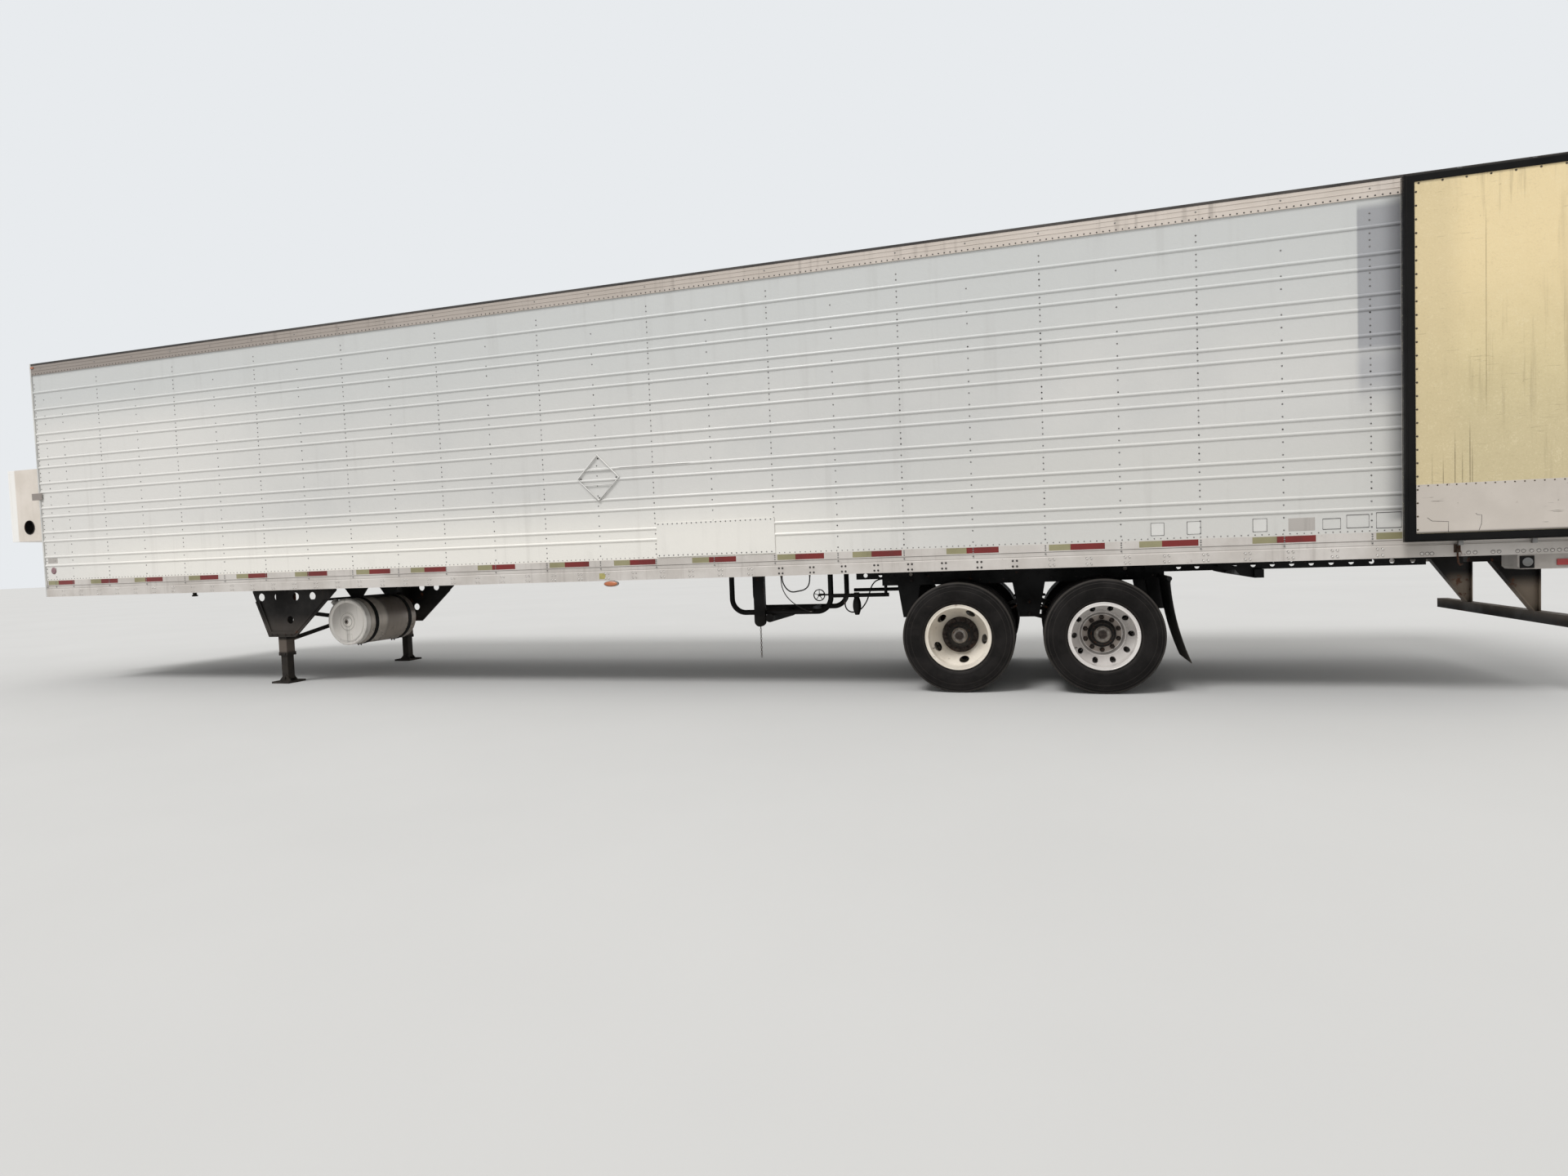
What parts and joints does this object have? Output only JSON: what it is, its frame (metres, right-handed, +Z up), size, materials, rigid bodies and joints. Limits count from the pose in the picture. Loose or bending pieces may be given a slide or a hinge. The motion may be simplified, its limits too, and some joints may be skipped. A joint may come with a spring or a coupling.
{
  "type": "semi trailer",
  "caption": "Refrigerated box semi-trailer with a nose cooling unit, landing legs, a sliding tandem bogie with twin wheels, and rear doors swung back on the sides.",
  "frame": {"origin": "on the floor under the middle of the whole trailer", "axes": "+X forward to the nose, +Y to the trailer's left, +Z up"},
  "size_m": [16.846, 2.892, 4.06],
  "materials": {
    "skin_white": "aged white paint over ribbed sheet",
    "rail_white": "aged white paint, retroreflective tape blocks",
    "rail_taupe": "aged taupe paint",
    "roof_aluminium": "dull sheet",
    "floor_aluminium": "scuffed extrusion",
    "chassis_black": "dusty black paint",
    "nose_white": "aged white paint",
    "bulkhead_white": "scuffed white panel",
    "coupling_metal": "cast metal",
    "unit_white": "weathered white panel",
    "grille_black": "dull black louvres",
    "kingpin_steel": "greased steel",
    "leg_grey": "dirty dark grey paint",
    "tank_metal": "weathered bare metal with a white end",
    "strap_black": "black strap",
    "rear_frame_steel": "dull galvanised frame",
    "lamp_box_grey": "dull grey sheet",
    "lamp_red": "red lens",
    "lamp_amber": "amber lens",
    "rubber_black": "dull rubber",
    "guard_black": "rusty black paint",
    "spring_steel": "rusty black leaves",
    "door_cream": "cream inner skin with rivets, white kick plate",
    "gasket_black": "black bulb seal",
    "hardware_steel": "galvanised lock rods and hinges",
    "tyre": "worn tyre",
    "wheel_white": "dull white steel disc",
    "wheel_silver": "silver steel disc"
  },
  "bodies": {
    "trailer": {"side_wall_left": "skin_white", "side_wall_right": "skin_white", "bottom_rails": "rail_white", "top_rails": "rail_taupe", "roof_panel": "roof_aluminium", "floor_deck": "floor_aluminium", "crossmembers": "chassis_black", "nose_frame": "nose_white", "nose_wall": "nose_white", "bulkhead": "bulkhead_white", "nose_couplings": "coupling_metal", "unit_lower": "unit_white", "unit_upper": "unit_white", "unit_grilles": "grille_black", "coupler_plate": "chassis_black", "kingpin": "kingpin_steel", "leg_tubes": "leg_grey", "leg_feet": "leg_grey", "leg_wings": "leg_grey", "leg_braces": "leg_grey", "fuel_tank": "tank_metal", "tank_straps": "strap_black", "spare_carrier": "chassis_black", "slider_rails": "chassis_black", "rear_frame": "rear_frame_steel", "rear_lamp_boxes": "lamp_box_grey", "lamps_red": "lamp_red", "lamps_amber": "lamp_amber", "dock_bumpers": "rubber_black", "underride_guard": "guard_black", "supply_hose": "rubber_black", "control_hose": "rubber_black"},
    "tandem": {"bogie_frame": "chassis_black", "spring_hangers": "chassis_black", "leaf_springs": "spring_steel", "spring_clamps": "spring_steel", "suspension_links": "chassis_black", "axles": "chassis_black", "brake_chambers": "chassis_black", "air_tank": "chassis_black", "mud_flaps": "rubber_black", "relay_valve": "chassis_black", "bogie_hose": "rubber_black", "chamber_hose": "rubber_black"},
    "door_left": {"door_left": "door_cream", "door_gasket_left": "gasket_black", "door_hardware_left": "hardware_steel"},
    "door_right": {"door_right": "door_cream", "door_gasket_right": "gasket_black", "door_hardware_right": "hardware_steel"},
    "wheels_front_left": {"tyres_front_left": "tyre", "wheels_front_left": "wheel_white"},
    "wheels_front_right": {"tyres_front_right": "tyre", "wheels_front_right": "wheel_white"},
    "wheels_rear_left": {"tyres_rear_left": "tyre", "wheels_rear_left": "wheel_silver"},
    "wheels_rear_right": {"tyres_rear_right": "tyre", "wheels_rear_right": "wheel_silver"}
  },
  "joints": [
    {"name": "tandem_slide", "type": "slide", "parent": "trailer", "child": "tandem", "axis": [1, 0, 0], "range_m": [-0.4572, 0.1524]},
    {"name": "wheels_front_left_spin", "type": "hinge", "parent": "tandem", "child": "wheels_front_left", "pos_m": [-3.69, 0.9585, 0.503], "axis": [0, 1, 0], "continuous": true},
    {"name": "wheels_front_right_spin", "type": "hinge", "parent": "tandem", "child": "wheels_front_right", "pos_m": [-3.69, -0.9585, 0.503], "axis": [0, 1, 0], "continuous": true},
    {"name": "wheels_rear_left_spin", "type": "hinge", "parent": "tandem", "child": "wheels_rear_left", "pos_m": [-4.9346, 0.9585, 0.503], "axis": [0, 1, 0], "continuous": true},
    {"name": "wheels_rear_right_spin", "type": "hinge", "parent": "tandem", "child": "wheels_rear_right", "pos_m": [-4.9346, -0.9585, 0.503], "axis": [0, 1, 0], "continuous": true},
    {"name": "door_left_hinge", "type": "hinge", "parent": "trailer", "child": "door_left", "pos_m": [-8.409, 1.3, 1.233], "axis": [0, 0, 1], "range_deg": [0, 270]},
    {"name": "door_right_hinge", "type": "hinge", "parent": "trailer", "child": "door_right", "pos_m": [-8.409, -1.3, 1.233], "axis": [0, 0, -1], "range_deg": [0, 270]}
  ]
}
